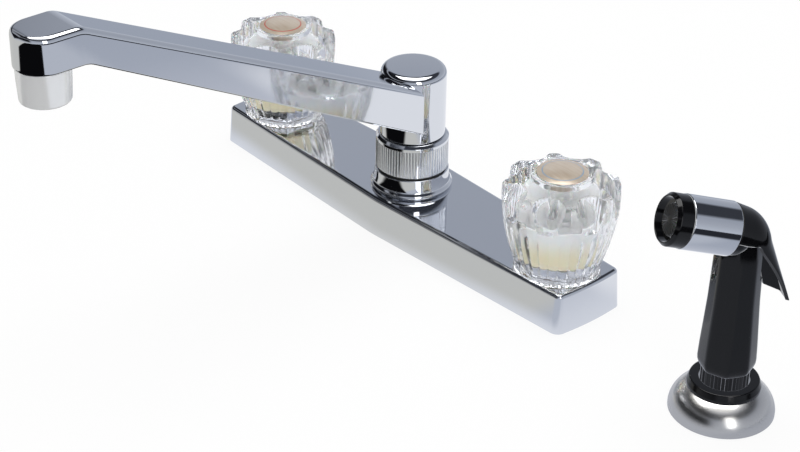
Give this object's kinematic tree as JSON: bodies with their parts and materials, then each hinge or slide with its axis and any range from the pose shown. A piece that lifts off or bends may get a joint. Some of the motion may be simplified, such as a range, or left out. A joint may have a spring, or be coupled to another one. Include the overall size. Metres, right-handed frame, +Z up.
{
  "type": "two handle kitchen faucet",
  "caption": "Deck mounted two handle kitchen faucet with a rising swing spout, clear fluted knobs and a side spray in its own holder.",
  "frame": {"origin": "on the spout's turning axis, in the plane of the sink deck", "axes": "+Z up out of the deck, +X along the deck plate towards the cold handle and the side spray, -Y forwards over the bowl"},
  "size_m": [0.3606, 0.2418, 0.215],
  "materials": {
    "chrome": "polished chrome plate",
    "brass": "as machined",
    "copper": "drawn tube",
    "acrylic": "clear polished",
    "nylon": "moulded off-white",
    "steel": "plain",
    "button_metal": "brushed, warm tone",
    "rubber": "matt",
    "black_plastic": "glossy moulded",
    "stainless": "satin spun",
    "white_plastic": "moulded"
  },
  "bodies": {
    "root": {"deck_plate": "chrome", "deck_gasket": "rubber", "centre_hub": "brass", "spout_foot": "chrome", "friction_ring": "rubber", "spout_nut": "chrome", "spout_seal_rings": "rubber", "diverter_cap": "brass", "spray_outlet_nipple": "brass", "deck_washers": "steel", "deck_lock_nuts": "brass", "holder_dome": "stainless", "holder_guide": "black_plastic", "holder_nut": "white_plastic", "hot_valve_body": "brass", "hot_cross_tube": "copper", "hot_seat_spring": "steel", "hot_seat": "rubber", "hot_cartridge": "white_plastic", "hot_bonnet_nut": "chrome", "cold_valve_body": "brass", "cold_cross_tube": "copper", "cold_seat_spring": "steel", "cold_seat": "rubber", "cold_cartridge": "white_plastic", "cold_bonnet_nut": "chrome"},
    "spout": {"spout": "chrome", "aerator_housing": "chrome", "aerator_screen": "steel", "aerator_washer": "rubber"},
    "diverter": {"diverter_piston": "white_plastic"},
    "spray": {"spray_coupling": "black_plastic", "hose_tail": "brass", "spray_grip": "black_plastic", "head_sleeve": "chrome", "nozzle_ring": "black_plastic", "nozzle_insert": "black_plastic", "lever_pin": "steel", "return_spring": "steel"},
    "spray_trigger": {"spray_lever": "black_plastic"},
    "spray_valve": {"spray_plunger": "steel", "plunger_seal": "rubber"},
    "hot_handle": {"hot_stem": "brass", "hot_stem_ring": "rubber", "hot_knob": "acrylic", "hot_knob_core": "nylon", "hot_handle_screw": "steel", "hot_index_button": "button_metal"},
    "cold_handle": {"cold_stem": "brass", "cold_stem_ring": "rubber", "cold_knob": "acrylic", "cold_knob_core": "nylon", "cold_handle_screw": "steel", "cold_index_button": "button_metal"}
  },
  "joints": [
    {"name": "spout_swing", "type": "hinge", "parent": "root", "child": "spout", "pos_m": [0, 0, 0], "axis": [0, 0, 1], "continuous": true},
    {"name": "hot_handle_turn", "type": "hinge", "parent": "root", "child": "hot_handle", "pos_m": [-0.1016, 0, 0], "axis": [0, 0, 1], "range_deg": [0, 90]},
    {"name": "cold_handle_turn", "type": "hinge", "parent": "root", "child": "cold_handle", "pos_m": [0.1016, 0, 0], "axis": [0, 0, 1], "range_deg": [-90, 0]},
    {"name": "diverter_lift", "type": "slide", "parent": "root", "child": "diverter", "axis": [0, 0, 1], "range_m": [0, 0.003]},
    {"name": "spray_pull", "type": "slide", "parent": "root", "child": "spray", "axis": [0, 0, 1], "range_m": [0, 0.15]},
    {"name": "trigger_press", "type": "hinge", "parent": "spray", "child": "spray_trigger", "pos_m": [0.21054, -0.00297, 0.0914], "axis": [-0.891, 0.454, 0], "range_deg": [0, 8], "stiffness_Nm_per_rad": 0.6, "springref_deg": -8.59},
    {"name": "valve_push", "type": "slide", "parent": "spray", "child": "spray_valve", "axis": [-0.454, -0.891, 0], "range_m": [0, 0.00214], "deforming": ["return_spring"]}
  ],
  "couplings": [
    {"joint": "valve_push", "follows": "trigger_press", "m_per_rad": 0.0139}
  ]
}
